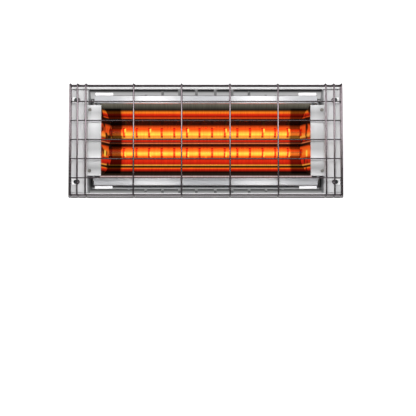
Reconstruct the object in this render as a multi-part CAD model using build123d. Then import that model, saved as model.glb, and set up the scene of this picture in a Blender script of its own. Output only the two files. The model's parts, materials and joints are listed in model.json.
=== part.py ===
from build123d import *
import os
from math import hypot

# Twin-lamp short-wave infrared heater, lying on its back with the lamps facing up.
# X runs along the lamps, Y across them, Z from the back panel to the guard. Millimetres.

# ---- driving dimensions -------------------------------------------------------------
LENGTH = 450.0            # end to end
HALF_LENGTH = LENGTH / 2
FRONT_HALF_W = 92.0       # housing half width at the rim
BACK_HALF_W = 78.0        # housing half width at the back panel
LOWER_FOLD_Z = 32.2
UPPER_FOLD_Z = 63.5
RIM_Z = 90.3
LIP_W = 5.5
SHELL_T = 1.2
SHEET_T = 0.8

SLOT_COUNT = 7            # vent slots each side of the middle
SLOT_FIRST_X = 16.0
SLOT_PITCH = 28.6
SLOT_W = 4.4
SLOT_TOP_Z = 77.5
SLOT_STEP_Z = 10.65
SLOT_BOTTOM_Z = 0.6

FLANGE_Z = 89.8           # front face of the end covers
COVER_INNER_X = 196.5
BULKHEAD_X = 196.0
TRAY_Z = 17.6             # underside of the heat shield
TRAY_HALF_W = 74.0
TRAY_H = 14.0

LAMP_Y = 17.0
LAMP_Z = 61.6
HEATED_HALF = 140.0
TUBE_R = 5.75
TUBE_WALL = 1.1
TUBE_HALF = 166.0
PINCH_END = 172.0
CAP_START = 168.5
CAP_END = 181.5
CONTACT_X = 183.0         # face of each lamp contact
CAP_R = 4.8

REFLECTOR_Z = 104.0       # top of the reflector flanges
TROUGH_HALF_W = 61.7
REFLECTOR_HALF_W = 74.5
REFLECTOR_HALF_L = 184.0
TROUGH_HALF_L = 174.5
TROUGH_FLOOR_Z = 52.0
RIDGE_Z = 59.5
LIP_DROP = 7.0

GUARD_Y = 91.3            # legs of the cross wires at the top
GUARD_BASE_Y = 93.0       # and where they meet the frame
GUARD_TOP_Z = 120.8
CROSS_R = 1.4
WIRE_R = 1.0
FRAME_R = 1.2
FRAME_Z = 90.0
LEG_END_Z = 90.6
CROSS_X = (39.7, 118.5, 197.0, 210.5, 223.0)
GRID_PITCH_Y = 31.4
SIDE_WIRE_Z = (96.9, 108.3)

GUARD_SCREW_X = 215.0
GUARD_SCREW_Y = 68.0
GUARD_SCREW_R = 2.0
RIVET_X = 217.7
RIVET_Z = 76.0
RIVET_R = 1.6
RIVET_DOME_R = 3.3
PAST = 100.0              # clear of the whole part, for cutting tools
MOUNT_X = 150.0
MOUNT_Y = 50.0
MOUNT_HOLE_R = 2.5
GROMMET_X = -211.0
GROMMET_Y = 52.0
EARTH_Y = -52.0
POLE_Y = 5.67
BLOCK_X = 204.6
LEAD_R = 1.2
RETURN_Z = 30.0
TAB_Z = 52.5              # where the leads meet the contact tabs


# ---- helpers ------------------------------------------------------------------------
def save(name, shape):
    shape.label = name
    export_step(shape, f"parts/{name}.step")


def group(solids):
    return Compound(children=list(solids))


def box(x0, x1, y0, y1, z0, z1):
    low = (min(x0, x1), min(y0, y1), min(z0, z1))
    size = (abs(x1 - x0), abs(y1 - y0), abs(z1 - z0))
    return Pos(*low) * Box(*size, align=(Align.MIN, Align.MIN, Align.MIN))


def rod(start, end, radius):
    """A round bar between two points."""
    line = Vector(*end) - Vector(*start)
    return Plane(origin=start, z_dir=line) * extrude(Circle(radius), line.length)


def folded_sheet(points, thickness, bend, half_length, side):
    """Sheet metal folded along X: a line in the YZ plane, thickened to one side."""
    path = FilletPolyline(*points, radius=bend)
    outline = offset(path, thickness, side=side)
    return extrude(make_face(Plane.YZ * outline), half_length, both=True)


def bent_wire(points, radius, bends):
    """A wire of straight runs joined by tangent arcs."""
    path = FilletPolyline(*points, radius=bends)
    start = Plane(origin=path @ 0, z_dir=path % 0)
    return sweep(start * Circle(radius), path=path)


def section_points(inset):
    """The housing's closed cross-section, moved in by an inset."""
    slant = (UPPER_FOLD_Z - LOWER_FOLD_Z) / (FRONT_HALF_W - BACK_HALF_W)
    drop = inset * (hypot(1, slant) - 1) / slant
    half = [
        (FRONT_HALF_W - inset, RIM_Z - inset),
        (FRONT_HALF_W - inset, UPPER_FOLD_Z + drop),
        (BACK_HALF_W - inset, LOWER_FOLD_Z + drop),
        (BACK_HALF_W - inset, inset),
    ]
    return half + [(-y, z) for y, z in reversed(half)]


def section_plate(inset, x0, x1):
    """A plate with the housing's cross-section."""
    outline = make_face(Plane.YZ * Polyline(*section_points(inset), close=True))
    return Pos(min(x0, x1), 0, 0) * extrude(outline, abs(x1 - x0), dir=(1, 0, 0))


def trough_half():
    """Bend points of one mirror, from the ridge to the flange."""
    folds = [(9.0, 53.6), (LAMP_Y, TROUGH_FLOOR_Z), (27.0, 54.6), (38.0, 63.5), (50.5, 81.5)]
    return [(0, RIDGE_Z)] + folds + [(TROUGH_HALF_W, REFLECTOR_Z)]


def pan_screw(head_r, head_h, shank_r, shank_len):
    """A pan-head screw, head up, with its underside at the origin."""
    head = extrude(Circle(head_r), head_h)
    head = fillet(head.edges().group_by(Axis.Z)[-1], head_h * 0.45)
    slot = Pos(0, 0, head_h) * Box(head_r * 1.3, head_r * 0.28, head_h * 0.6)
    cross = Pos(0, 0, head_h) * Box(head_r * 0.28, head_r * 1.3, head_h * 0.6)
    shank = Pos(0, 0, -shank_len) * extrude(Circle(shank_r), shank_len)
    return head - slot - cross + shank


# ---- housing ------------------------------------------------------------------------
def housing_shell():
    inner_y = FRONT_HALF_W - LIP_W
    half = [
        (-inner_y, RIM_Z),
        (-FRONT_HALF_W, RIM_Z),
        (-FRONT_HALF_W, UPPER_FOLD_Z),
        (-BACK_HALF_W, LOWER_FOLD_Z),
        (-BACK_HALF_W, 0),
    ]
    points = half + [(-y, z) for y, z in reversed(half)]
    shell = folded_sheet(points, SHELL_T, 1.6, HALF_LENGTH, Side.LEFT)
    wall_y = BACK_HALF_W - 4
    for n in range(SLOT_COUNT):
        x = SLOT_FIRST_X + SLOT_PITCH * n
        top = SLOT_TOP_Z - SLOT_STEP_Z * n
        for sx in (-1, 1):
            for sy in (-1, 1):
                slot = box(sx * x - SLOT_W / 2, sx * x + SLOT_W / 2,
                           sy * wall_y, sy * (FRONT_HALF_W + 1), SLOT_BOTTOM_Z, top)
                shell -= slot
    for sx in (-1, 1):
        for sy in (-1, 1):
            shell -= rod((sx * RIVET_X, sy * 85, RIVET_Z), (sx * RIVET_X, sy * 95, RIVET_Z), 1.6)
            shell -= rod((sx * MOUNT_X, sy * MOUNT_Y, -1), (sx * MOUNT_X, sy * MOUNT_Y, 3), 4.5)
    shell -= rod((GROMMET_X, GROMMET_Y, -1), (GROMMET_X, GROMMET_Y, 3), 8.0)
    shell -= rod((GROMMET_X, EARTH_Y, -1), (GROMMET_X, EARTH_Y, 3), 2.0)
    return shell


def end_cover(side):
    """Folded end: outer wall, front flange with guard screw holes, and two riveted ears."""
    outer_x = HALF_LENGTH - 0.3
    inner_x = outer_x - SHELL_T
    wall = section_plate(SHELL_T + 0.1, side * inner_x, side * outer_x)
    flange_y = FRONT_HALF_W - LIP_W - 1.5
    flange = box(side * COVER_INNER_X, side * outer_x, -flange_y, flange_y, FLANGE_Z - SHELL_T, FLANGE_Z)
    hem = box(side * COVER_INNER_X, side * (COVER_INNER_X + SHELL_T), -flange_y, flange_y,
              FLANGE_Z - 8, FLANGE_Z)
    cover = wall - box(side * 220, side * 226, -PAST, PAST, FLANGE_Z, RIM_Z + 5) + flange + hem
    ear_y = FRONT_HALF_W - SHELL_T - 0.1
    for sy in (-1, 1):
        cover += box(side * 206, side * inner_x, sy * (ear_y - SHELL_T), sy * ear_y, 66, 85)
        cover -= rod((side * RIVET_X, sy * 85, RIVET_Z), (side * RIVET_X, sy * 95, RIVET_Z), RIVET_R)
        hole = (side * GUARD_SCREW_X, sy * GUARD_SCREW_Y)
        cover -= rod((*hole, 80), (*hole, 95), GUARD_SCREW_R + 0.05)
    return cover


def side_rivets():
    rivets = []
    for sx in (-1, 1):
        for sy in (-1, 1):
            wall = FRONT_HALF_W
            dome = Pos(sx * RIVET_X, sy * (wall - 2.2), RIVET_Z) * Sphere(RIVET_DOME_R)
            head = dome & box(sx * RIVET_X - 4, sx * RIVET_X + 4, sy * wall, sy * (wall + 4), 70, 82)
            shank = rod((sx * RIVET_X, sy * (wall - 3.6), RIVET_Z),
                        (sx * RIVET_X, sy * wall, RIVET_Z), RIVET_R)
            tail = rod((sx * RIVET_X, sy * (wall - 4.2), RIVET_Z),
                       (sx * RIVET_X, sy * (wall - 2.5), RIVET_Z), 2.5)
            rivets.append(head + shank + tail)
    return group(rivets)


def bulkhead(side):
    """Wall between the lamp space and the wiring space."""
    x0 = side * (BULKHEAD_X - 0.6)
    x1 = side * (BULKHEAD_X + 0.4)
    wall = section_plate(SHELL_T + 0.1, x0, x1)
    wall -= box(side * 190, side * 200, -PAST, PAST, FLANGE_Z - 9, PAST)
    wall += box(x1, side * (BULKHEAD_X + 4), -70, 70, SHELL_T, SHELL_T + 1.0)
    for sy in (-1, 1):
        wall -= box(side * 190, side * 200, sy * LAMP_Y - 5, sy * LAMP_Y + 5, 48, 67)
        wall -= rod((side * 190, sy * POLE_Y, RETURN_Z), (side * 200, sy * POLE_Y, RETURN_Z), LEAD_R + 1.0)
    return wall


def heat_shield():
    half = [(-TRAY_HALF_W, TRAY_Z + TRAY_H), (-TRAY_HALF_W, TRAY_Z)]
    points = half + [(-y, z) for y, z in reversed(half)]
    length = BULKHEAD_X - 0.8
    return folded_sheet(points, SHEET_T, 2.0, length, Side.LEFT)


def mounting_nuts():
    nuts = []
    for sx in (-1, 1):
        for sy in (-1, 1):
            at = (sx * MOUNT_X, sy * MOUNT_Y)
            body = rod((*at, 0), (*at, 12.5), 4.5) + rod((*at, SHELL_T), (*at, 3.2), 6.0)
            nuts.append(body - rod((*at, -1), (*at, 14), MOUNT_HOLE_R))
    return group(nuts)


# ---- guard --------------------------------------------------------------------------
LONG_Z = GUARD_TOP_Z - CROSS_R - WIRE_R + 0.2
LONG_TOP_X = 223.5
LONG_BASE_X = 225.6
FRAME_Y = FRONT_HALF_W + FRAME_R + 0.05
FRAME_X = HALF_LENGTH + FRAME_R + 0.05


def lean(z, top, base):
    """Where a leaning guard leg is at height z."""
    return base + (top - base) * (z - LEG_END_Z) / (GUARD_TOP_Z - LEG_END_Z)


def guard_frame():
    """The wire ring that goes round the outside of the rim."""
    ring = Pos(0, 0, FRAME_Z) * RectangleRounded(2 * FRAME_X, 2 * FRAME_Y, FRAME_R + 0.1)
    path = ring.wire()
    return sweep(Plane(origin=path @ 0, z_dir=path % 0) * Circle(FRAME_R), path=path)


def guard_cross_wires():
    wires = []
    for x in [side * x for x in CROSS_X for side in (-1, 1)]:
        points = [(x, -GUARD_BASE_Y, LEG_END_Z), (x, -GUARD_Y, GUARD_TOP_Z),
                  (x, GUARD_Y, GUARD_TOP_Z), (x, GUARD_BASE_Y, LEG_END_Z)]
        wires.append(bent_wire(points, CROSS_R, 2.4))
    return group(wires)


def guard_long_wires():
    """Front wires, bent down at both ends to the frame."""
    wires = []
    for n in (-2, -1, 0, 1, 2):
        y = n * GRID_PITCH_Y
        points = [(-LONG_BASE_X, y, LEG_END_Z), (-LONG_TOP_X, y, LONG_Z),
                  (LONG_TOP_X, y, LONG_Z), (LONG_BASE_X, y, LEG_END_Z)]
        wires.append(bent_wire(points, WIRE_R, 1.6))
    return group(wires)


def guard_side_wires():
    """Straight wires along both side walls."""
    end = HALF_LENGTH - 1
    wires = []
    for sy in (-1, 1):
        for z in SIDE_WIRE_Z:
            y = lean(z, GUARD_Y, GUARD_BASE_Y) - CROSS_R - WIRE_R + 0.2
            wires.append(rod((-end, sy * y, z), (end, sy * y, z), WIRE_R))
    return group(wires)


def guard_end_wires():
    """Short wires across both end walls, inside the bent-down front wires."""
    drop = 2 * WIRE_R - 0.1
    wires = []
    for sx in (-1, 1):
        for z in SIDE_WIRE_Z:
            low = z - drop
            x = lean(low, LONG_TOP_X, LONG_BASE_X) - 2 * WIRE_R + 0.2
            half = lean(z, GUARD_Y, GUARD_BASE_Y) - CROSS_R
            wires.append(rod((sx * x, -half, low), (sx * x, half, low), WIRE_R))
    return group(wires)


def guard_lugs():
    """Wire loops welded to the frame, one round each guard screw."""
    leg = 3.1
    lug_r = 1.0
    lugs = []
    for sx in (-1, 1):
        for sy in (-1, 1):
            y = sy * GUARD_SCREW_Y
            z = FLANGE_Z + lug_r + 0.6
            outer = sx * FRAME_X
            inner = sx * (GUARD_SCREW_X - 5.2)
            points = [(outer, y - leg, z), (inner, y - leg, z), (inner, y + leg, z), (outer, y + leg, z)]
            lugs.append(bent_wire(points, lug_r, 3.0))
    return group(lugs)


CLIP_Z = FLANGE_Z + 2.6


def guard_clips():
    """Bright plates that clamp the loops under the guard screws."""
    plates = []
    for sx in (-1, 1):
        for sy in (-1, 1):
            x = sx * GUARD_SCREW_X
            y = sy * GUARD_SCREW_Y
            plate = Pos(x + sx * 2.0, y, CLIP_Z + 0.5) * Box(10.0, 9.0, 1.0)
            plate = fillet(plate.edges().filter_by(Axis.Z), 1.2)
            plates.append(plate - rod((x, y, CLIP_Z - 1), (x, y, CLIP_Z + 3), GUARD_SCREW_R + 0.1))
    return group(plates)


def guard_screws():
    screws = []
    for sx in (-1, 1):
        for sy in (-1, 1):
            at = Pos(sx * GUARD_SCREW_X, sy * GUARD_SCREW_Y, CLIP_Z + 1.0)
            screws.append(at * pan_screw(3.5, 2.6, GUARD_SCREW_R, 12))
    return group(screws)


# ---- reflector ----------------------------------------------------------------------
TAB_X0 = 154.0
TAB_X1 = 183.0
TAB_W = 5.0
EAR_H = 13.0
HANGER_X = REFLECTOR_HALF_L + 0.1
CAP_TOP_Z = REFLECTOR_Z + SHEET_T
CAP_INNER_X = 173.0
CAP_OUTER_X = 195.0
CAP_HALF_W = 58.4
CAP_FLOOR_X = 158.0
CAP_SCREW = (191.5, 50.5)


def reflector():
    """Twin trough mirror with flanges, turned-down lips, tabs and end ears."""
    half = trough_half()
    rim = [(REFLECTOR_HALF_W, REFLECTOR_Z), (REFLECTOR_HALF_W, REFLECTOR_Z - LIP_DROP)]
    right = half + rim
    left = [(-y, z) for y, z in reversed(right[1:])]
    sheet = folded_sheet(left + right, SHEET_T, 0.9, REFLECTOR_HALF_L, Side.RIGHT)
    for side in (-1, 1):
        cut = box(side * TROUGH_HALF_L, side * 190, -TROUGH_HALF_W - 0.6, TROUGH_HALF_W + 0.6, 40, 110)
        sheet -= cut
        for sy in (-1, 1):
            low = REFLECTOR_Z - LIP_DROP
            edge = REFLECTOR_HALF_W
            sheet += box(side * TAB_X0, side * TAB_X1, sy * (edge - SHEET_T), sy * (edge + TAB_W),
                         low, low + SHEET_T)
            sheet += box(side * (REFLECTOR_HALF_L - SHEET_T), side * REFLECTOR_HALF_L,
                         sy * (TROUGH_HALF_W + 0.8), sy * (edge - 4.5),
                         REFLECTOR_Z - EAR_H, REFLECTOR_Z - SHEET_T / 2)
            hole_y = sy * (TROUGH_HALF_W + 4.3)
            hole_z = REFLECTOR_Z - 8
            sheet -= rod((side * 180, hole_y, hole_z), (side * 188, hole_y, hole_z), 1.6)
    return sheet


def reflector_end_cap(side):
    """Cover over the lamp ends: top plate, short skirts and a slanted mirror wall."""
    top = box(side * CAP_INNER_X, side * CAP_OUTER_X, -CAP_HALF_W, CAP_HALF_W, REFLECTOR_Z, CAP_TOP_Z)
    run = CAP_INNER_X - CAP_FLOOR_X
    drop = REFLECTOR_Z - TROUGH_FLOOR_Z
    floor_x = CAP_FLOOR_X - 1.0 * run / drop
    profile = Polyline(
        (side * CAP_INNER_X, CAP_TOP_Z),
        (side * (CAP_INNER_X + 1.2), CAP_TOP_Z),
        (side * (floor_x + 1.2), TROUGH_FLOOR_Z - 1.0),
        (side * floor_x, TROUGH_FLOOR_Z - 1.0),
        close=True,
    )
    wall = extrude(make_face(Plane.XZ * profile), CAP_HALF_W, both=True)
    gap = 0.6
    half = [(y, z + gap) for y, z in trough_half()[:-1]]
    upper = [(CAP_HALF_W, 98.2), (CAP_HALF_W, 120)]
    right = half + upper
    outline = right + [(-y, z) for y, z in reversed(right[1:])]
    inside = make_face(Plane.YZ * Polyline(*outline, close=True))
    wall &= extrude(inside, 260, both=True)
    for sy in (-1, 1):
        y = sy * LAMP_Y
        wall -= rod((side * 140, y, LAMP_Z), (side * 180, y, LAMP_Z), TUBE_R + 0.8)
        wall -= box(side * 140, side * 180, y - TUBE_R - 0.8, y + TUBE_R + 0.8, 40, LAMP_Z)
    cap = top + wall
    cap += box(side * (CAP_OUTER_X - SHEET_T), side * CAP_OUTER_X, -CAP_HALF_W, CAP_HALF_W,
               REFLECTOR_Z - 6, CAP_TOP_Z)
    x, y = CAP_SCREW
    for sy in (-1, 1):
        cap -= rod((side * x, sy * y, 100), (side * x, sy * y, 110), 1.7)
    return cap


def end_cap_screws():
    x, y = CAP_SCREW
    places = [(sx * x, sy * y) for sx in (-1, 1) for sy in (-1, 1)]
    return group([Pos(*at, CAP_TOP_Z) * pan_screw(2.7, 1.9, 1.5, 7) for at in places])


def reflector_hangers():
    """Plates standing on the heat shield that carry the reflector ends."""
    plates = []
    foot_z = TRAY_Z + SHEET_T
    for sx in (-1, 1):
        for sy in (-1, 1):
            y0 = sy * (TROUGH_HALF_W - 2.7)
            y1 = sy * (REFLECTOR_HALF_W - 8.0)
            web = box(sx * HANGER_X, sx * (HANGER_X + 1.2), y0, y1, foot_z, REFLECTOR_Z - 1.5)
            foot = box(sx * HANGER_X, sx * (HANGER_X + 9), y0, y1, foot_z, foot_z + 1.2)
            y = sy * (TROUGH_HALF_W + 4.3)
            z = REFLECTOR_Z - 8
            plates.append(web + foot - rod((sx * 180, y, z), (sx * 190, y, z), 1.6))
    return group(plates)


def hanger_screws():
    screws = []
    for sx in (-1, 1):
        for sy in (-1, 1):
            at = Plane(origin=(sx * (HANGER_X + 1.2), sy * (TROUGH_HALF_W + 4.3), REFLECTOR_Z - 8),
                       z_dir=(sx, 0, 0))
            screws.append(at * pan_screw(2.6, 1.8, 1.5, 4.5))
    return group(screws)


# ---- lamp holders -------------------------------------------------------------------
HOLDER_X0 = 176.5
HOLDER_X1 = 194.6
HOLDER_HALF_W = 10.5
HOLDER_Z0 = 50.0
HOLDER_Z1 = 73.0
POCKET_END = 190.5
FIXED_POCKET_END = 184.2
ROD_R = 2.0
SCREW_Y = 31.0


def holder_bracket(side):
    """Bridge over the heat shield: platform for the holders, posts for the end cap."""
    floor = TRAY_Z + SHEET_T
    half = [(46.0, floor), (56.0, floor), (56.0, REFLECTOR_Z - 0.1), (45.0, REFLECTOR_Z - 0.1)]
    x_mid = side * 189.5
    posts = []
    for sy in (-1, 1):
        path = FilletPolyline(*[(sy * y, z) for y, z in half], radius=1.3)
        inward = Side.LEFT if sy > 0 else Side.RIGHT
        outline = offset(path, 1.2, side=inward)
        posts.append(Pos(x_mid, 0, 0) * extrude(make_face(Plane.YZ * outline), 4.5, both=True))
    platform = box(side * 177, side * 194, -55.5, 55.5, HOLDER_Z0 - 1.2, HOLDER_Z0)
    bracket = posts[0] + posts[1] + platform
    x, y = CAP_SCREW
    for sy in (-1, 1):
        bracket -= rod((side * x, sy * y, 98), (side * x, sy * y, 110), 1.5)
        bracket -= rod((side * 186, sy * SCREW_Y, 45), (side * 186, sy * SCREW_Y, 55), 1.6)
    return bracket


def lamp_holder(side, row):
    """Ceramic block with a pocket for the lamp end and a foot for its screw."""
    y = row * LAMP_Y
    block = box(side * HOLDER_X0, side * HOLDER_X1, y - HOLDER_HALF_W, y + HOLDER_HALF_W,
                HOLDER_Z0, HOLDER_Z1)
    block = fillet(block.edges().filter_by(Axis.X).group_by(Axis.Z)[-1], 5.0)
    foot_y = row * (SCREW_Y + 4.0)
    block += box(side * (HOLDER_X0 + 4), side * (HOLDER_X1 - 3), y, foot_y, HOLDER_Z0, HOLDER_Z0 + 6)
    end = FIXED_POCKET_END if side < 0 else POCKET_END
    pocket = rod((side * (HOLDER_X0 - 1), y, LAMP_Z), (side * end, y, LAMP_Z), CAP_R + 0.5)
    bore = rod((side * (HOLDER_X0 - 1), y, LAMP_Z), (side * 200, y, LAMP_Z), ROD_R + 0.06)
    hole_y = row * SCREW_Y
    hole = rod((side * 186, hole_y, 40), (side * 186, hole_y, 60), 1.6)
    return block - pocket - bore - hole


def holder_screws():
    places = [(sx * 186, sy * SCREW_Y) for sx in (-1, 1) for sy in (-1, 1)]
    return group([Pos(*at, HOLDER_Z0 + 6) * pan_screw(2.6, 1.8, 1.5, 9) for at in places])


def contact_tabs():
    """Brass tabs behind the holders: the rod passes through, the lead is crimped below."""
    tabs = []
    for sx in (-1, 1):
        for sy in (-1, 1):
            y = sy * LAMP_Y
            tab = box(sx * HOLDER_X1, sx * (HOLDER_X1 + 0.6), y - 3.5, y + 3.5, 50.5, LAMP_Z + 4)
            hole_r = ROD_R if sx < 0 else ROD_R + 0.06
            tabs.append(tab - rod((sx * 190, y, LAMP_Z), (sx * 200, y, LAMP_Z), hole_r))
    return group(tabs)


def fixed_contacts():
    contacts = []
    for sy in (-1, 1):
        y = sy * LAMP_Y
        shank = rod((-CONTACT_X - 0.1, y, LAMP_Z), (-HOLDER_X1 - 2.5, y, LAMP_Z), ROD_R)
        head = rod((-CONTACT_X - 0.1, y, LAMP_Z), (-FIXED_POCKET_END, y, LAMP_Z), 3.6)
        contacts.append(shank + head)
    return group(contacts)


# ---- lamps --------------------------------------------------------------------------
def lamp_tube(row):
    """Quartz tube with domed shoulders, flat pinches and the sealed-off tip."""
    y = row * LAMP_Y
    shoulder = 5.0
    outer = rod((-TUBE_HALF, y, LAMP_Z), (TUBE_HALF, y, LAMP_Z), TUBE_R)
    outer = fillet(outer.edges().filter_by(GeomType.CIRCLE), shoulder)
    inner_half = TUBE_HALF - TUBE_WALL
    inner = rod((-inner_half, y, LAMP_Z), (inner_half, y, LAMP_Z), TUBE_R - TUBE_WALL)
    inner = fillet(inner.edges().filter_by(GeomType.CIRCLE), shoulder - TUBE_WALL)
    tube = outer - inner
    for side in (-1, 1):
        tube += box(side * (TUBE_HALF - 1.0), side * PINCH_END, y - 3.6, y + 3.6, LAMP_Z - 1.4, LAMP_Z + 1.4)
    tip = Pos(0, y, LAMP_Z) * Rot(X=-90 if row > 0 else 90) * Pos(0, 0, TUBE_R - 0.4)
    return tube + tip * Cone(1.8, 0.7, 3.2, align=(Align.CENTER, Align.CENTER, Align.MIN))


def lamp_filament(row):
    """The coil's envelope with its lead-in wires and pinch foils."""
    y = row * LAMP_Y
    coil = rod((-HEATED_HALF, y, LAMP_Z), (HEATED_HALF, y, LAMP_Z), 1.6)
    leads = rod((-TUBE_HALF + 1.5, y, LAMP_Z), (TUBE_HALF - 1.5, y, LAMP_Z), 0.5)
    return coil + leads


def lamp_supports(row):
    """Wire rings that hold the coil off the quartz."""
    y = row * LAMP_Y
    pitch = 21.2
    rings = []
    for n in range(7):
        for side in (-1, 1):
            x = side * pitch * (n + 0.5)
            ring = rod((x - 0.25, y, LAMP_Z), (x + 0.25, y, LAMP_Z), TUBE_R - TUBE_WALL - 0.05)
            rings.append(ring - rod((x - 1, y, LAMP_Z), (x + 1, y, LAMP_Z), 1.7))
    return group(rings)


def lamp_caps(row):
    """Ceramic ends of the lamp, each with its contact button."""
    y = row * LAMP_Y
    caps = []
    for side in (-1, 1):
        cap = rod((side * CAP_START, y, LAMP_Z), (side * CAP_END, y, LAMP_Z), CAP_R)
        cap = fillet(cap.edges().filter_by(GeomType.CIRCLE), 0.6)
        slot = box(side * (CAP_START - 1), side * PINCH_END, y - 3.6, y + 3.6, LAMP_Z - 1.4, LAMP_Z + 1.4)
        caps.append(cap - slot)
    return group(caps)


def lamp_buttons(row):
    y = row * LAMP_Y
    buttons = []
    for side in (-1, 1):
        button = rod((side * CAP_END, y, LAMP_Z), (side * CONTACT_X, y, LAMP_Z), 2.4)
        buttons.append(fillet(button.edges().filter_by(GeomType.CIRCLE), 0.4))
    return group(buttons)


def lamp_plunger(row):
    """Sprung contact that pushes the lamp against the far holder."""
    y = row * LAMP_Y
    head = rod((CONTACT_X, y, LAMP_Z), (CONTACT_X + 1.6, y, LAMP_Z), 4.0)
    return head + rod((CONTACT_X, y, LAMP_Z), (HOLDER_X1 + 2.5, y, LAMP_Z), ROD_R)


def lamp_spring(row):
    """Compression spring between the plunger head and the end of its pocket."""
    wire_r = 0.35
    start = CONTACT_X + 1.6 + wire_r
    height = POCKET_END - wire_r - start
    coil = Helix(height / 4, height, 3.0)
    wire = sweep(Plane(origin=coil @ 0, z_dir=coil % 0) * Circle(wire_r), path=coil)
    return Plane(origin=(start, row * LAMP_Y, LAMP_Z), z_dir=(1, 0, 0)) * wire


# ---- wiring -------------------------------------------------------------------------
BLOCK_T = 14.0
BLOCK_Z0 = 4.0
BLOCK_Z1 = 20.0
POLES = (-LAMP_Y, -POLE_Y, POLE_Y, LAMP_Y)
BULKHEAD_FACE = BULKHEAD_X + 0.4


def terminal_block():
    x0 = -BULKHEAD_FACE
    block = box(x0 - 0.1 - BLOCK_T, x0 - 0.1, -26, 26, BLOCK_Z0, BLOCK_Z1)
    block = fillet(block.edges().filter_by(Axis.Z), 1.2)
    for y in POLES:
        block -= rod((-BLOCK_X, y, BLOCK_Z0 - 1), (-BLOCK_X, y, BLOCK_Z1 + 1), 2.2)
        block -= rod((-BLOCK_X, y, 12), (-BLOCK_X - 12, y, 12), 2.5)
    return block


def terminal_screws():
    facing = [Plane(origin=(-BLOCK_X - 4.4, y, 12), z_dir=(-1, 0, 0)) for y in POLES]
    return group([at * pan_screw(2.3, 1.8, 1.3, 1.8) for at in facing])


def terminal_clamps():
    """Brass sleeves inside the block that take the leads."""
    sleeves = []
    for y in POLES:
        sleeve = rod((-BLOCK_X, y, BLOCK_Z0 + 1), (-BLOCK_X, y, BLOCK_Z1 - 1), 2.1)
        sleeves.append(sleeve - rod((-BLOCK_X, y, BLOCK_Z0), (-BLOCK_X, y, BLOCK_Z1), LEAD_R + 0.05))
    return group(sleeves)


def feed_lead(row):
    """From the terminal block up and through the near bulkhead to the contact tab."""
    y = row * LAMP_Y
    points = [(-HOLDER_X1 - 0.6, y, TAB_Z), (-BLOCK_X, y, TAB_Z), (-BLOCK_X, y, BLOCK_Z0 + 6)]
    return bent_wire(points, LEAD_R, 6.5)


def return_lead(row):
    """From the far contact tab back under the reflector to the terminal block."""
    y = row * LAMP_Y
    inner = row * POLE_Y
    points = [
        (HOLDER_X1 + 0.6, y, TAB_Z),
        (BLOCK_X, y, TAB_Z),
        (BLOCK_X, inner, RETURN_Z),
        (-BLOCK_X, inner, RETURN_Z),
        (-BLOCK_X, inner, BLOCK_Z0 + 6),
    ]
    return bent_wire(points, LEAD_R, [6.0, 6.0, 6.5])


def wire_saddles():
    """Ceramic blocks that carry the return leads above the heat shield."""
    saddles = []
    for x in (-110, 0, 110):
        saddle = box(x - 5, x + 5, -12, 12, TRAY_Z + SHEET_T, RETURN_Z + 4)
        saddle = fillet(saddle.edges().filter_by(Axis.X).group_by(Axis.Z)[-1], 3.0)
        for y in (-POLE_Y, POLE_Y):
            saddle -= rod((x - 6, y, RETURN_Z), (x + 6, y, RETURN_Z), LEAD_R + 0.05)
        saddles.append(saddle)
    return group(saddles)


def cable_grommet():
    at = (GROMMET_X, GROMMET_Y)
    ring = rod((*at, 0), (*at, 5.0), 8.0) + rod((*at, SHELL_T), (*at, 3.4), 10.5)
    ring -= rod((*at, -1), (*at, 6), 5.0)
    return fillet(ring.edges().group_by(Axis.Z)[-1], 0.6)


def earth_stud():
    at = (GROMMET_X, EARTH_Y)
    return rod((*at, 0), (*at, 15), 2.0) + rod((*at, SHELL_T), (*at, 2.4), 4.5)


def earth_nut():
    at = (GROMMET_X, EARTH_Y)
    nut = Pos(*at, 2.4) * extrude(RegularPolygon(4.0, 6), 3.2)
    return nut - rod((*at, 0), (*at, 8), 2.0)


# ---- output -------------------------------------------------------------------------
def main():
    os.makedirs("parts", exist_ok=True)
    single = [
        housing_shell, side_rivets, heat_shield, mounting_nuts,
        guard_frame, guard_cross_wires, guard_long_wires, guard_side_wires, guard_end_wires,
        guard_lugs, guard_clips, guard_screws,
        reflector, end_cap_screws, reflector_hangers, hanger_screws,
        holder_screws, contact_tabs, fixed_contacts,
        terminal_block, terminal_screws, terminal_clamps, wire_saddles,
        cable_grommet, earth_stud, earth_nut,
    ]
    for make in single:
        save(make.__name__, make())
    for side, word in ((-1, "left"), (1, "right")):
        save(f"end_cover_{word}", end_cover(side))
        save(f"bulkhead_{word}", bulkhead(side))
        save(f"reflector_end_cap_{word}", reflector_end_cap(side))
        save(f"holder_bracket_{word}", holder_bracket(side))
    for row, line in ((1, "upper"), (-1, "lower")):
        save(f"feed_lead_{line}", feed_lead(row))
        save(f"return_lead_{line}", return_lead(row))
        for make in (lamp_tube, lamp_filament, lamp_supports, lamp_caps, lamp_buttons,
                     lamp_plunger, lamp_spring):
            save(make.__name__.replace("lamp", f"lamp_{line}"), make(row))
        for side, word in ((-1, "left"), (1, "right")):
            save(f"lamp_holder_{line}_{word}", lamp_holder(side, row))


main()
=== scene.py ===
"""Looks of the twin-lamp heat lamp warmer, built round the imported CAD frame. Metres."""

import json
import math

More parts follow.
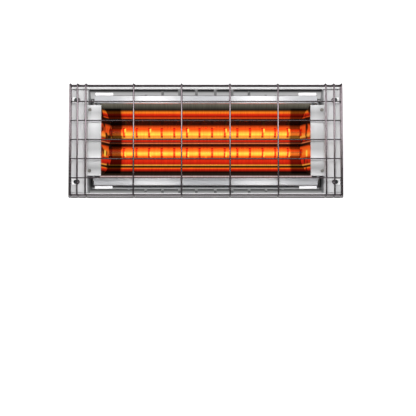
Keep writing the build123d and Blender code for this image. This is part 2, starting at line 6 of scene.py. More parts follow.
import bmesh
import bpy
from mathutils import Euler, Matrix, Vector


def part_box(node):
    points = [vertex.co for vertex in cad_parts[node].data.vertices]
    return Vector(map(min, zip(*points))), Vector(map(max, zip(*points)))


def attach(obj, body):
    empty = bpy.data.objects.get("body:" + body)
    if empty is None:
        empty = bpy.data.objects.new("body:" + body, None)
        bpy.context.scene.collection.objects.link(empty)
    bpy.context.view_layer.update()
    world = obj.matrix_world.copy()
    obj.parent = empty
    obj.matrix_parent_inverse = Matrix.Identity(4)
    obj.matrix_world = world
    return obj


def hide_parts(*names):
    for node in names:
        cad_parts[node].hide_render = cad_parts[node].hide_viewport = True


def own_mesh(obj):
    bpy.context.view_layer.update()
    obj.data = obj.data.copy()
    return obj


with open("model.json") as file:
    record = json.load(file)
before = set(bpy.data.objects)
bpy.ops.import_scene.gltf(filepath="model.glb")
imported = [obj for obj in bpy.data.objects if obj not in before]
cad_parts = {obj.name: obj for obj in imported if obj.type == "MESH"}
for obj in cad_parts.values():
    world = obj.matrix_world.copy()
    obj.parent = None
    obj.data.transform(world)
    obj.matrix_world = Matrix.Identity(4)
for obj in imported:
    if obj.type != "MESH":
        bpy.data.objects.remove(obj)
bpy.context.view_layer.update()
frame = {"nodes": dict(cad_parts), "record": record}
nodes = frame["nodes"]
MM = 0.001


# ---- camera -------------------------------------------------------------------------
FACE_TILT = math.radians(5.0)       # the face is seen from slightly below its normal
CAMERA_DISTANCE = 2.2
VIEW_WIDTH = 0.6905                 # metres across the picture at the face
FACE_CENTRE = Vector((0.0, 0.0, 0.09))
FRAME_OFFSET_X = 0.0052             # the object sits a little left of the middle
FRAME_OFFSET_Y = -0.161             # and in the upper half of the picture


def make_camera():
    data = bpy.data.cameras.new("camera")
    camera = bpy.data.objects.new("camera", data)
    bpy.context.scene.collection.objects.link(camera)
    bpy.context.scene.camera = camera
    turn = Euler((FACE_TILT, 0.0, 0.0))
    back = turn.to_matrix() @ Vector((0.0, 0.0, 1.0))
    camera.location = FACE_CENTRE + back * CAMERA_DISTANCE
    camera.rotation_euler = turn
    data.sensor_width = 36.0
    data.lens = data.sensor_width * CAMERA_DISTANCE / VIEW_WIDTH
    data.shift_x = FRAME_OFFSET_X
    data.shift_y = FRAME_OFFSET_Y
    data.clip_end = 50.0


make_camera()


# ---- shader kit ---------------------------------------------------------------------
class Value:
    """A number flowing between shader nodes, with ordinary arithmetic."""

    def __init__(self, kit, socket):
        self.kit = kit
        self.socket = socket

    def op(self, name, *others):
        return self.kit.math(name, self, *others)

    def __add__(self, other):
        return self.op("ADD", other)

    def __sub__(self, other):
        return self.op("SUBTRACT", other)

    def __mul__(self, other):
        return self.op("MULTIPLY", other)

    def __truediv__(self, other):
        return self.op("DIVIDE", other)

    def near(self, centre, half, soft):
        """1 within half of centre, falling to 0 over soft."""
        away = (self - centre).op("ABSOLUTE")
        return self.kit.ramp(away, half, half + soft, 1.0, 0.0)


class Kit:
    """One material and short ways to add its nodes."""

    def __init__(self, name):
        self.material = bpy.data.materials.new(name)
        self.material.use_nodes = True
        self.tree = self.material.node_tree
        self.tree.nodes.clear()
        self.out = self.tree.nodes.new("ShaderNodeOutputMaterial")

    def node(self, kind, **settings):
        made = self.tree.nodes.new("ShaderNode" + kind)
        for key, value in settings.items():
            setattr(made, key, value)
        return made

    def put(self, socket, value):
        if isinstance(value, Value):
            self.tree.links.new(value.socket, socket)
        elif isinstance(value, bpy.types.NodeSocket):
            self.tree.links.new(value, socket)
        elif isinstance(value, (tuple, list)) and socket.type == "RGBA":
            socket.default_value = (*value, 1.0)
        else:
            socket.default_value = value

    def math(self, name, *terms):
        made = self.node("Math", operation=name)
        for socket, term in zip(made.inputs, terms):
            self.put(socket, term)
        return Value(self, made.outputs[0])

    def ramp(self, value, low, high, to_low=0.0, to_high=1.0):
        """A smooth step from to_low at low to to_high at high."""
        made = self.node("MapRange", interpolation_type="SMOOTHSTEP")
        for socket, term in zip(made.inputs, (value, low, high, to_low, to_high)):
            self.put(socket, term)
        return Value(self, made.outputs[0])

    def place(self):
        """X, Y and Z of the point in the object's own frame, in millimetres."""
        where = self.node("TexCoord").outputs["Object"]
        split = self.node("SeparateXYZ")
        self.put(split.inputs[0], where)
        return [Value(self, out) * 1000.0 for out in split.outputs]

    def stretch(self, scale):
        mapping = self.node("Mapping")
        self.put(mapping.inputs["Vector"], self.node("TexCoord").outputs["Object"])
        mapping.inputs["Scale"].default_value = scale
        return mapping.outputs[0]

    def noise(self, scale, detail=3.0, stretch=(1.0, 1.0, 1.0)):
        made = self.node("TexNoise")
        self.put(made.inputs["Vector"], self.stretch(stretch))
        made.inputs["Scale"].default_value = scale
        made.inputs["Detail"].default_value = detail
        return Value(self, made.outputs["Fac"])

    def mix(self, amount, low, high):
        made = self.node("Mix", data_type="RGBA")
        self.put(made.inputs["Factor"], amount)
        colours = [s for s in made.inputs if s.type == "RGBA"]
        self.put(colours[0], low)
        self.put(colours[1], high)
        return [s for s in made.outputs if s.type == "RGBA"][0]

    def table(self, value, stops):
        """The colour at value, from (place, colour) stops in rising order."""
        first = stops[0][0]
        last = stops[-1][0]
        made = self.node("ValToRGB")
        self.put(made.inputs[0], (value - first) / (last - first))
        points = made.color_ramp.elements
        points[1].position = 1.0
        for place, colour in stops[1:-1]:
            points.new((place - first) / (last - first))
        for point, (place, colour) in zip(points, stops):
            point.color = (*colour, 1.0)
        return made.outputs["Color"]

    def facing(self, axis):
        """How far the surface faces along X, Y or Z: for Z, 1 is level, 0 upright, -1 an underside."""
        split = self.node("SeparateXYZ")
        self.put(split.inputs[0], self.node("NewGeometry").outputs["True Normal"])
        return Value(self, split.outputs[axis])

    def bump(self, height, strength, distance):
        made = self.node("Bump")
        made.inputs["Strength"].default_value = strength
        made.inputs["Distance"].default_value = distance
        self.put(made.inputs["Height"], height)
        return made.outputs[0]

    def shader(self, **values):
        made = self.node("BsdfPrincipled")
        for key, value in values.items():
            self.put(made.inputs[key.replace("_", " ")], value)
        return made.outputs[0]

    def surface(self, **values):
        self.put(self.out.inputs["Surface"], self.shader(**values))
        return self.material


# ---- materials ----------------------------------------------------------------------
# Daylight that reaches the inside of the case through the gaps: Y in millimetres and grey.
WALL_LIGHT = (
    (-92.0, 0.02), (-88.5, 0.5), (-84.5, 0.38), (-82.0, 0.24), (-79.5, 0.09), (-77.0, 0.02), (-60.0, 0.0),
    (60.0, 0.3), (78.0, 0.5), (84.5, 0.4), (86.3, 0.22), (87.2, 0.01), (92.0, 0.0),
)
# Painted shade on the long outer walls: each folded flat gets its own grey for how it catches the light,
# the middle one darkest: Z in millimetres and grey.
WALL_FLAT_SHADES = ((0.0, 0.8), (31.8, 0.8), (32.2, 0.62), (63.8, 0.62), (64.2, 0.95), (90.0, 0.95))
RIM_Z = 88.0
RIM_Y = 88.0                # the rim lip lies beyond this
WALL_Y = 70.0               # the long walls lie beyond this
CORNER_X = 176.0            # the sheet metal past this is in the corners beside the end caps
TRAY_TOP_Z = 34.0
DEEP_Z = 36.0               # below this the case is dark inside
UNDER_TRAY_Z = 16.5         # below this daylight crosses from slot to slot under the heat shield


def inner_light(kit, y, z):
    """Grey light on faces that look up from inside the case."""
    lit = kit.ramp(z, DEEP_Z - 8.0, DEEP_Z) * kit.ramp(z, RIM_Z - 1.0, RIM_Z, 1.0, 0.0)
    inside = lit * kit.ramp(kit.facing("Z"), 0.05, 0.15)
    grey = kit.table(y, [(place, (light, light, light)) for place, light in WALL_LIGHT])
    return grey, inside


def silver_paint():
    kit = Kit("silver_paint")
    _, y, z = kit.place()
    off_axis = y.op("ABSOLUTE")
    grey, inside = inner_light(kit, y, z)
    grain = kit.noise(900.0)
    cloud = kit.noise(7.0)
    face = kit.mix(cloud, (0.64, 0.64, 0.65), (0.71, 0.71, 0.715))
    wall = kit.ramp(off_axis, WALL_Y, WALL_Y + 2.0)
    outside = wall * kit.ramp(kit.facing("Z"), 0.3, 0.5, 1.0, 0.0)
    # Painted shade: the outer faces of the long walls take the grey of their folded flat.
    flat_shades = kit.table(z, [(place, (tone, tone, tone)) for place, tone in WALL_FLAT_SHADES])
    face = kit.mix(outside, face, flat_shades)
    # Painted highlight: the rim lip is near-white and glows a faint grey.
    lip = kit.ramp(off_axis, RIM_Y - 0.5, RIM_Y + 0.5) * kit.ramp(z, RIM_Z, RIM_Z + 1.0)
    # Painted shade: faces that look up from inside the case are dark grey, under the painted light of
    # inner_light.
    colour = kit.mix(inside, kit.mix(lip, face, (0.97, 0.97, 0.97)), (0.16, 0.16, 0.165))
    # Painted light: low on the long walls, the faces that look inward glow plain white.
    inward = kit.facing("Y") * y.op("SIGN") * -1.0
    under = kit.ramp(inward, 0.5, 0.7) * kit.ramp(z, UNDER_TRAY_Z - 0.5, UNDER_TRAY_Z, 1.0, 0.0) * wall
    glow = kit.mix(lip, grey, (0.3, 0.3, 0.3))
    glow = kit.mix(under, glow, (1.0, 1.0, 1.0))
    rough = kit.ramp(grain, 0.3, 0.7, 0.38, 0.5)
    peel = kit.bump(grain, 0.12, 0.0002)
    return kit.surface(
        Base_Color=colour, Metallic=0.1, Roughness=rough, Normal=peel,
        Emission_Color=glow, Emission_Strength=kit.math("MAXIMUM", under, kit.math("MAXIMUM", inside, lip)),
    )


def guard_wire():
    kit = Kit("guard_wire")
    draw = kit.noise(400.0)
    colour = kit.mix(kit.noise(30.0), (0.13, 0.108, 0.118), (0.22, 0.185, 0.2))
    rough = kit.ramp(draw, 0.3, 0.7, 0.1, 0.18)
    pull = kit.bump(draw, 0.1, 0.0001)
    return kit.surface(Base_Color=colour, Metallic=1.0, Roughness=rough, Normal=pull)


def bright_plate():
    kit = Kit("bright_plate")
    grain = kit.noise(300.0)
    colour = kit.mix(grain, (0.94, 0.94, 0.94), (0.98, 0.98, 0.98))
    # Painted light: the plate glows faintly white.
    return kit.surface(
        Base_Color=colour, Metallic=0.0, Roughness=0.35, Normal=kit.bump(grain, 0.1, 0.0001),
        Emission_Color=(1.0, 1.0, 1.0), Emission_Strength=0.12,
    )


def dark_screw():
    kit = Kit("dark_screw")
    grain = kit.noise(600.0)
    colour = kit.mix(grain, (0.03, 0.035, 0.035), (0.09, 0.1, 0.1))
    rough = kit.ramp(grain, 0.3, 0.7, 0.25, 0.4)
    return kit.surface(Base_Color=colour, Metallic=0.9, Roughness=rough)


def zinc_screw():
    kit = Kit("zinc_screw")
    grain = kit.noise(500.0)
    colour = kit.mix(grain, (0.17, 0.16, 0.14), (0.3, 0.29, 0.26))
    return kit.surface(Base_Color=colour, Metallic=1.0, Roughness=0.36)


def galvanised_sheet():
    kit = Kit("galvanised_sheet")
    spangle = kit.node("TexVoronoi")
    kit.put(spangle.inputs["Vector"], kit.stretch((1.0, 1.0, 1.0)))
    spangle.inputs["Scale"].default_value = 260.0
    flake = Value(kit, spangle.outputs["Distance"])
    x, y, z = kit.place()
    grey, inside = inner_light(kit, y, z)
    # Painted light: in the corners beside the end caps the inner glow is a faint speckle, fainter still on
    # the -Y side.
    corner = kit.ramp(x.op("ABSOLUTE"), CORNER_X, CORNER_X + 6.0)
    corner_light = kit.mix(kit.ramp(y, -10.0, 10.0), (0.03, 0.03, 0.035), (0.16, 0.16, 0.165))
    glow = kit.mix(corner, grey, kit.mix(kit.noise(600.0), (0.02, 0.02, 0.02), corner_light))
    colour = kit.mix(flake, (0.42, 0.43, 0.44), (0.62, 0.63, 0.64))
    # Painted shade: the upright sides of the tray, below its top, are dark grey.
    upright = kit.ramp(kit.facing("Z").op("ABSOLUTE"), 0.2, 0.4, 1.0, 0.0)
    tray_side_shade = upright * kit.ramp(z, TRAY_TOP_Z, TRAY_TOP_Z + 1.0, 1.0, 0.0)
    colour = kit.mix(tray_side_shade, colour, (0.1, 0.1, 0.1))
    rough = kit.ramp(flake, 0.0, 0.8, 0.4, 0.55)
    return kit.surface(
        Base_Color=colour, Metallic=0.45, Roughness=rough, Normal=kit.bump(flake, 0.15, 0.0002),
        Emission_Color=glow, Emission_Strength=inside * 0.8,
    )


LAMP_Y = 17.0               # millimetres from the middle to each lamp
SUPPORT_PITCH = 21.2        # millimetres between filament supports
HEATED_HALF = 140.0
GLINT_X = (31.8, 95.4, 137.8)
GLINT_Y = 20.0
GLINT_SHIFT = 2.3           # the bright spots sit just to one side of their support

# Colours of the glow, from cold to hot, and then the pale and dull ones of the room.
BLACK = (0.006, 0.003, 0.002)
SOOT = (0.03, 0.015, 0.01)
DEEP_RED = (0.16, 0.004, 0.003)
RED = (0.72, 0.022, 0.006)
BLOOD = (0.4, 0.008, 0.005)
EMBER = (0.85, 0.085, 0.01)
ORANGE = (0.95, 0.22, 0.018)
AMBER = (1.0, 0.4, 0.05)
YELLOW = (1.0, 0.7, 0.09)
PEACH = (0.85, 0.22, 0.08)
OLIVE = (0.15, 0.14, 0.11)
ROSE = (0.55, 0.42, 0.42)

# Light that the mirror folds throw back, band by band out from the middle ridge: the ridge, the
# glow behind the lamp, a dark fold, the lamp's image in the side wall, and the room at the edge.
# Y in millimetres and the colour there.
UPPER_FOLDS = (
    (0.6, DEEP_RED), (3.0, RED), (5.4, DEEP_RED),
    (9.0, AMBER), (16.0, EMBER), (25.5, EMBER),
    (30.0, BLACK), (39.2, BLACK),
    (40.5, EMBER), (42.2, DEEP_RED), (46.0, RED), (48.6, ORANGE),
    (52.0, BLACK), (61.0, OLIVE),
)
LOWER_FOLDS = (
    (0.0, DEEP_RED), (1.2, PEACH), (2.5, BLACK), (6.0, BLACK),
    (9.0, EMBER), (20.0, ORANGE), (25.0, EMBER), (27.3, DEEP_RED),
    (30.0, RED), (36.6, BLOOD), (38.6, AMBER),
    (40.2, BLACK), (42.6, BLACK),
    (43.8, ORANGE), (45.5, RED), (50.5, BLACK),
    (57.8, SOOT), (58.8, ROSE),
)
# The tubes glow brightest along one line each.
UPPER_TUBE = ((11.0, ORANGE), (13.0, YELLOW), (18.0, ORANGE), (23.0, RED))
LOWER_TUBE = ((11.0, EMBER), (15.0, ORANGE), (19.5, YELLOW), (23.0, ORANGE))


def across(kit, y, upper, lower):
    """The glow's colour at Y, from one table for each half."""
    above = kit.table(y, upper)
    below = kit.table(y * -1.0, lower)
    return kit.mix(kit.math("GREATER_THAN", y, 0.0), below, above)


def heated(kit, x):
    """1 over the coil, falling to a faint glow beyond its ends, less faint at the right."""
    faint = kit.ramp(x, -10.0, 10.0, 0.09, 0.22)
    return kit.ramp(x.op("ABSOLUTE"), HEATED_HALF - 1.0, HEATED_HALF + 3.5, 1.0, faint)


def support_lines(kit, x, y):
    """Where a filament support hides the glow of a lamp."""
    between = kit.math("PINGPONG", x, SUPPORT_PITCH / 2)
    line = kit.ramp(between, SUPPORT_PITCH / 2 - 2.6, SUPPORT_PITCH / 2 - 1.1)
    return line * y.op("ABSOLUTE").near(LAMP_Y, 7.5, 1.5) * 0.92


def glints(kit, x, y):
    """Bright spots where the coil is anchored."""
    across_x = (x - GLINT_SHIFT).op("ABSOLUTE")
    spots = 0.0
    for place in GLINT_X:
        spots = across_x.near(place, 0.3, 1.7) + spots
    return spots * y.op("ABSOLUTE").near(GLINT_Y, 2.0, 3.0)


MOUTH_Y = 60.5              # the folds end here and the flanges begin
TAB_START = 74.3            # where the flange's edge ends and its tabs begin
ROOM_Y = 53.0               # the outermost folds reflect the room, not the lamps


def mirror_sheet():
    kit = Kit("mirror_sheet")
    x, y, _ = kit.place()
    off_axis = y.op("ABSOLUTE")
    grain = kit.noise(60.0, 4.0, (0.02, 1.0, 1.0))
    turns = kit.noise(900.0, 2.0, (1.0, 0.03, 0.03))
    # Painted sheen: the flange is lighter towards x = 90 mm on each side and darker at the middle and the
    # ends.
    wave = x.op("ABSOLUTE").near(90.0, 4.0, 70.0)
    inside = kit.ramp(off_axis, MOUTH_Y, MOUTH_Y + 1.1, 1.0, 0.0)
    flange = kit.mix(wave, (0.42, 0.425, 0.44), (0.72, 0.72, 0.73))
    level = kit.ramp(kit.facing("Z"), 0.1, 0.3)
    # Painted shade: a thin dark line runs along the flange's edge on its level faces.
    flange = kit.mix(off_axis.near(TAB_START, 0.25, 0.6), flange, (0.14, 0.11, 0.125))
    # Painted highlight: faces that are not level, as on the turned-down lip, and the tabs past the flange's
    # edge are near-white.
    flange = kit.mix(level, (0.95, 0.95, 0.96), flange)
    flange = kit.mix(kit.ramp(off_axis, TAB_START + 0.4, TAB_START + 0.9), flange, (0.97, 0.97, 0.98))
    # Painted reflection: inside the mouth the mirror is near-black, reflecting little, and the glow of the
    # lamps is painted on it.
    colour = kit.mix(inside, flange, kit.mix(grain, (0.008, 0.007, 0.006), (0.02, 0.018, 0.016)))
    light = across(kit, y, UPPER_FOLDS, LOWER_FOLDS)
    light = kit.mix(support_lines(kit, x, y), light, BLOOD)
    light = kit.mix(glints(kit, x, y), light, YELLOW)
    up = kit.ramp(kit.facing("Z"), 0.05, 0.2)
    room = kit.ramp(off_axis, ROOM_Y, ROOM_Y + 2.0)
    power = kit.math("MAXIMUM", heated(kit, x), room) * inside * up * kit.ramp(turns, 0.3, 0.7, 0.85, 1.15)
    return kit.surface(
        Base_Color=colour, Metallic=kit.ramp(inside, 0.0, 1.0, 0.35, 1.0),
        Roughness=kit.ramp(inside, 0.0, 1.0, 0.3, 0.1), Normal=kit.bump(grain, 0.06, 0.0002),
        Emission_Color=light, Emission_Strength=power, Specular_Tint=(0.15, 0.15, 0.15),
    )


# Painted reflection of the room: soft light and dark waves along the end plates: Y in millimetres and grey.
PLATE_REFLECTION_WAVES = (
    (-58.0, 0.66), (-46.0, 0.34), (-28.0, 0.68), (-14.5, 0.42),
    (8.0, 0.46), (30.0, 0.62), (46.0, 0.38), (58.0, 0.62),
)
WALL_X = 173.0              # the end caps' slanted mirrors lie inside this
WALL_TOP = 103.2
WALL_GLINT_X = 167.5        # the coil's end reflected in the slanted mirrors
WALL_GLINT_Y = -20.0


def brushed_sheet():
    kit = Kit("brushed_sheet")
    x, y, z = kit.place()
    grain = kit.noise(120.0, 5.0, (1.0, 0.03, 1.0))
    reflection_patches = kit.noise(85.0, 2.0, (1.0, 0.5, 0.6))
    # Painted reflection: the end plates take the grey of the room's reflection at their Y.
    plate = kit.table(y, [(place, (grey, grey, grey * 1.01)) for place, grey in PLATE_REFLECTION_WAVES])
    off_centre = x.op("ABSOLUTE")
    below = kit.ramp(z, WALL_TOP - 0.4, WALL_TOP, 1.0, 0.0)
    wall = below * kit.ramp(off_centre, WALL_X, WALL_X + 1.0, 1.0, 0.0)
    # Painted reflection: on the slanted mirrors of the end caps the base is near-black and the lamps' glow
    # is painted on in patches, with a yellow glint of the coil's end.
    colour = kit.mix(wall, plate, (0.06, 0.05, 0.045))
    light = kit.mix(kit.ramp(reflection_patches, 0.38, 0.5), BLACK, across(kit, y, UPPER_FOLDS, LOWER_FOLDS))
    glint = off_centre.near(WALL_GLINT_X, 0.4, 1.2) * y.near(WALL_GLINT_Y, 3.0, 4.0)
    light = kit.mix(glint, light, YELLOW)
    rough = kit.ramp(grain, 0.3, 0.7, 0.3, 0.42)
    return kit.surface(
        Base_Color=colour, Metallic=kit.ramp(wall, 0.0, 1.0, 0.4, 1.0), Roughness=rough,
        Normal=kit.bump(grain, 0.15, 0.0002), Emission_Color=light, Emission_Strength=wall * 0.85,
    )


def ruby_quartz():
    kit = Kit("ruby_quartz")
    x, y, _ = kit.place()
    streak = kit.noise(80.0, 3.0, (0.05, 1.0, 1.0))
    colour = kit.mix(streak, (0.9, 0.13, 0.045), (0.96, 0.2, 0.07))
    light = across(kit, y, UPPER_TUBE, LOWER_TUBE)
    light = kit.mix(support_lines(kit, x, y), light, BLOOD)
    light = kit.mix(glints(kit, x, y), light, YELLOW)
    turns = kit.noise(900.0, 2.0, (1.0, 0.03, 0.03))
    return kit.surface(
        Base_Color=colour, Roughness=0.06, IOR=1.45, Transmission_Weight=1.0,
        Emission_Color=light, Emission_Strength=heated(kit, x) * kit.ramp(turns, 0.3, 0.7, 0.6, 0.8),
    )


def hot_tungsten():
    kit = Kit("hot_tungsten")
    x, _, _ = kit.place()
    heat = kit.ramp(x.op("ABSOLUTE"), HEATED_HALF - 6.0, HEATED_HALF, 1.0, 0.02)
    colour = kit.mix(heat, (1.0, 0.12, 0.02), (1.0, 0.5, 0.12))
    return kit.surface(
        Base_Color=(0.2, 0.18, 0.17), Metallic=1.0, Roughness=0.5,
        Emission_Color=colour, Emission_Strength=heat * 1.6,
    )


def tungsten_wire():
    kit = Kit("tungsten_wire")
    grain = kit.noise(800.0)
    colour = kit.mix(grain, (0.12, 0.08, 0.07), (0.22, 0.15, 0.13))
    return kit.surface(
        Base_Color=colour, Metallic=1.0, Roughness=0.45,
        Emission_Color=(1.0, 0.05, 0.01), Emission_Strength=0.25,
    )


def white_ceramic():
    kit = Kit("white_ceramic")
    grain = kit.noise(500.0)
    colour = kit.mix(kit.noise(40.0), (0.72, 0.69, 0.62), (0.84, 0.82, 0.76))
    return kit.surface(Base_Color=colour, Roughness=0.55, Normal=kit.bump(grain, 0.2, 0.0003))


def contact_brass():
    kit = Kit("contact_brass")
    colour = kit.mix(kit.noise(200.0), (0.6, 0.44, 0.18), (0.76, 0.6, 0.3))
    return kit.surface(Base_Color=colour, Metallic=1.0, Roughness=0.3)


def spring_steel():
    kit = Kit("spring_steel")
    colour = kit.mix(kit.noise(300.0), (0.35, 0.35, 0.36), (0.5, 0.5, 0.52))
    return kit.surface(Base_Color=colour, Metallic=1.0, Roughness=0.3)


def glass_sleeve():
    kit = Kit("glass_sleeve")
    braid = kit.node("TexWave", bands_direction="DIAGONAL")
    kit.put(braid.inputs["Vector"], kit.stretch((1.0, 1.0, 1.0)))
    braid.inputs["Scale"].default_value = 400.0
    weave = Value(kit, braid.outputs["Fac"])
    colour = kit.mix(weave, (0.62, 0.6, 0.54), (0.82, 0.8, 0.74))
    return kit.surface(Base_Color=colour, Roughness=0.8, Normal=kit.bump(weave, 0.4, 0.0002))


def grommet_rubber():
    kit = Kit("grommet_rubber")
    grain = kit.noise(700.0)
    colour = kit.mix(grain, (0.02, 0.02, 0.02), (0.045, 0.045, 0.045))
    return kit.surface(Base_Color=colour, Roughness=0.65, Normal=kit.bump(grain, 0.2, 0.0002))


MATERIALS = {
    make.__name__: make()
    for make in (
        silver_paint, guard_wire, bright_plate, dark_screw, mirror_sheet, brushed_sheet, zinc_screw,
        galvanised_sheet, ruby_quartz, hot_tungsten, tungsten_wire, white_ceramic, contact_brass,
        spring_steel, glass_sleeve, grommet_rubber,
    )
}

for part in frame["record"]["subparts"]:
    slots = nodes[part["node"]].material_slots
    for place in slots:
        place.material = MATERIALS[part["material_slot"]]


# ---- wound filaments and contact springs --------------------------------------------
def sweep_rings(mesh, rings):
    """A closed skin over a run of rings of points."""
    loops = [[mesh.verts.new(point) for point in ring] for ring in rings]
    for a, b in zip(loops, loops[1:]):
        for s in range(len(a)):
            after = (s + 1) % len(a)
            mesh.faces.new((a[s], a[after], b[after], b[s]))
    mesh.faces.new(list(reversed(loops[0])))
    mesh.faces.new(loops[-1])


def add_helix(mesh, start, end, coil_r, wire_r, turns, steps, sides):
    """Wire wound round the line from start to end, which runs along X."""
    rings = []
    for n in range(turns * steps + 1):
        angle = 2 * math.pi * n / steps
        out = Vector((0.0, math.cos(angle), math.sin(angle)))
        centre = start.lerp(end, n / (turns * steps)) + out * coil_r
        ring = []
        for s in range(sides):
            turn = 2 * math.pi * s / sides
            along = Vector((math.sin(turn) * wire_r, 0.0, 0.0))
            ring.append(centre + out * math.cos(turn) * wire_r + along)
        rings.append(ring)
    sweep_rings(mesh, rings)


def add_lead(mesh, start, end, lead_r, sides=10):
    """A straight wire along X."""
    rings = []
    for centre in (start, end):
        ring = []
        for s in range(sides):
            turn = 2 * math.pi * s / sides
            ring.append(centre + Vector((0.0, math.cos(turn), math.sin(turn))) * lead_r)
        rings.append(ring)
    sweep_rings(mesh, rings)


def wound_piece(name, mesh, slot, body, node):
    """The finished mesh as a piece that rides on a body in place of a CAD node."""
    bmesh.ops.recalc_face_normals(mesh, faces=mesh.faces)
    data = bpy.data.meshes.new(name)
    mesh.to_mesh(data)
    mesh.free()
    for face in data.polygons:
        face.use_smooth = True
    piece = bpy.data.objects.new(name, data)
    bpy.context.scene.collection.objects.link(piece)
    data.materials.append(MATERIALS[slot])
    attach(piece, body)
    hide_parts(node)
    return piece


def axis_ends(node):
    """The middles of a round CAD node's two ends, along X, and its outer radius."""
    low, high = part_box(node)
    y = (low[1] + high[1]) / 2
    z = (low[2] + high[2]) / 2
    return Vector((low[0], y, z)), Vector((high[0], y, z)), (high[2] - low[2]) / 2


FILAMENT_WIRE_R = 0.3 * MM
FILAMENT_TURNS = 200
LEAD_R = 0.5 * MM


def wound_filament(line):
    """The tungsten coil wound round the lamp's axis, with straight leads to the pinches."""
    left, right, outer_r = axis_ends(f"lamp_{line}_filament")
    coil_r = outer_r - FILAMENT_WIRE_R
    half = HEATED_HALF * MM
    coil_left = Vector((-half, left.y, left.z))
    coil_right = Vector((half, left.y, left.z))
    overlap = Vector((2 * MM, 0.0, 0.0))
    mesh = bmesh.new()
    add_helix(mesh, coil_left, coil_right, coil_r, FILAMENT_WIRE_R, FILAMENT_TURNS, steps=14, sides=5)
    add_lead(mesh, left, coil_left + overlap, LEAD_R)
    add_lead(mesh, coil_right - overlap, right, LEAD_R)
    wound_piece(f"wound_coil_{line}", mesh, "hot_tungsten", f"lamp_{line}", f"lamp_{line}_filament")


SPRING_WIRE_R = 0.35 * MM
SPRING_TURNS = 4


def contact_spring(line):
    """The spring behind the sprung contact, a helix on a mesh of its own that rides on the heater."""
    near, far, outer_r = axis_ends(f"lamp_{line}_spring")
    coil_r = outer_r - SPRING_WIRE_R
    wire_end = Vector((SPRING_WIRE_R, 0.0, 0.0))
    mesh = bmesh.new()
    add_helix(mesh, near + wire_end, far - wire_end, coil_r, SPRING_WIRE_R, SPRING_TURNS, steps=24, sides=8)
    spring = wound_piece(f"contact_spring_{line}", mesh, "spring_steel", "heater", f"lamp_{line}_spring")
    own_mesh(spring)


for line in ("upper", "lower"):
    wound_filament(line)
    contact_spring(line)


# ---- studio -------------------------------------------------------------------------
ROOM_LIGHT = 0.66                   # on matt surfaces
ROOM_REFLECTION = 0.22              # in reflections
ROOM_SEEN = 1.0                     # as the camera sees it
FLOOR_HALF = 4.0
FLOOR_OPENING = (0.2245, 0.0775)    # under the back panel, so that views from below show it
FLOOR_GAP = 0.0005
FLOOR_WHITE = 0.75                  # what lifts the floor to plain white in the picture
SHADE_HALF_X = 222.0                # millimetres; the floor stays grey where the object hides it
SHADE_HALF_Y = 89.0
SHADE_SHIFT_Y = 8.0                 # the tilted view hides more of the floor on this side


def floor_mesh():
    """A wide square with an opening under the object."""
    ox, oy = FLOOR_OPENING
    mesh = bmesh.new()
    for x0, x1, y0, y1 in (
        (-FLOOR_HALF, FLOOR_HALF, oy, FLOOR_HALF), (-FLOOR_HALF, FLOOR_HALF, -FLOOR_HALF, -oy),
        (-FLOOR_HALF, -ox, -oy, oy), (ox, FLOOR_HALF, -oy, oy),
    ):
        corners = ((x0, y0), (x1, y0), (x1, y1), (x0, y1))
        mesh.faces.new([mesh.verts.new((x, y, -FLOOR_GAP)) for x, y in corners])
    data = bpy.data.meshes.new("floor")
    mesh.to_mesh(data)
    mesh.free()
    return data


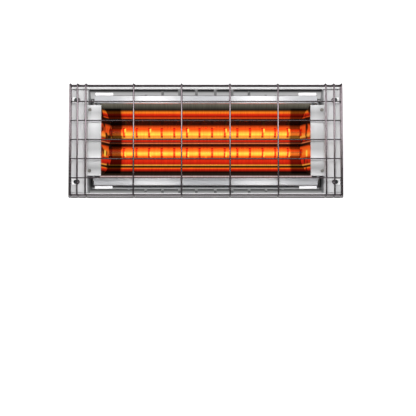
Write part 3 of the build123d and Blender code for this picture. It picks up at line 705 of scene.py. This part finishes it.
def make_floor():
    """Pale from above and clear from below."""
    data = floor_mesh()
    floor = bpy.data.objects.new("floor", data)
    bpy.context.scene.collection.objects.link(floor)
    kit = Kit("floor")
    x, y, _ = kit.place()
    beside = kit.ramp(x.op("ABSOLUTE"), SHADE_HALF_X, SHADE_HALF_X + 10.0)
    before = kit.ramp((y - SHADE_SHIFT_Y).op("ABSOLUTE"), SHADE_HALF_Y, SHADE_HALF_Y + 4.0)
    clear = kit.math("MAXIMUM", beside, before)
    seen = Value(kit, kit.node("LightPath").outputs["Is Camera Ray"]) * clear
    shade = kit.mix(clear, (0.26, 0.26, 0.26), (0.55, 0.55, 0.55))
    pale = kit.shader(
        Base_Color=shade, Roughness=0.9,
        Emission_Color=(1.0, 1.0, 1.0), Emission_Strength=seen * FLOOR_WHITE,
    )
    sides = kit.node("MixShader")
    kit.put(sides.inputs[0], kit.node("NewGeometry").outputs["Backfacing"])
    kit.put(sides.inputs[1], pale)
    kit.put(sides.inputs[2], kit.node("BsdfTransparent").outputs[0])
    kit.put(kit.out.inputs["Surface"], sides.outputs[0])
    data.materials.append(kit.material)


def area_light(name, place, aim, size, power):
    data = bpy.data.lights.new(name, "AREA")
    data.shape = "RECTANGLE"
    data.size, data.size_y = size
    data.energy = power
    light = bpy.data.objects.new(name, data)
    bpy.context.scene.collection.objects.link(light)
    light.location = place
    light.rotation_euler = (Vector(aim) - Vector(place)).to_track_quat("-Z", "Y").to_euler()
    return light


def make_world():
    """White light for matt surfaces, a darker room for reflections, plain white for the camera."""
    world = bpy.data.worlds.new("studio")
    bpy.context.scene.world = world
    world.use_nodes = True
    tree = world.node_tree
    background = tree.nodes["Background"]
    background.inputs["Color"].default_value = (1.0, 1.0, 1.0, 1.0)
    path = tree.nodes.new("ShaderNodeLightPath")
    reflected = tree.nodes.new("ShaderNodeMapRange")
    reflected.inputs["To Min"].default_value = ROOM_LIGHT
    reflected.inputs["To Max"].default_value = ROOM_REFLECTION
    tree.links.new(path.outputs["Is Glossy Ray"], reflected.inputs["Value"])
    seen = tree.nodes.new("ShaderNodeMapRange")
    seen.inputs["To Max"].default_value = ROOM_SEEN
    tree.links.new(path.outputs["Is Camera Ray"], seen.inputs["Value"])
    tree.links.new(reflected.outputs[0], seen.inputs["To Min"])
    tree.links.new(seen.outputs[0], background.inputs["Strength"])


make_floor()
make_world()
area_light("strip", (0.0, 0.16, 1.1), (0.0, 0.16, 0.0), (2.2, 0.14), 4.5)
area_light("fill", (-1.6, -1.6, 1.4), (0.0, 0.0, 0.05), (1.2, 1.2), 4.0)
overhead = area_light("overhead", (0.0, 0.06, 1.3), (0.0, 0.0, 0.0), (0.14, 0.14), 5.5)
overhead.visible_glossy = False
bpy.context.scene.view_settings.view_transform = "Standard"
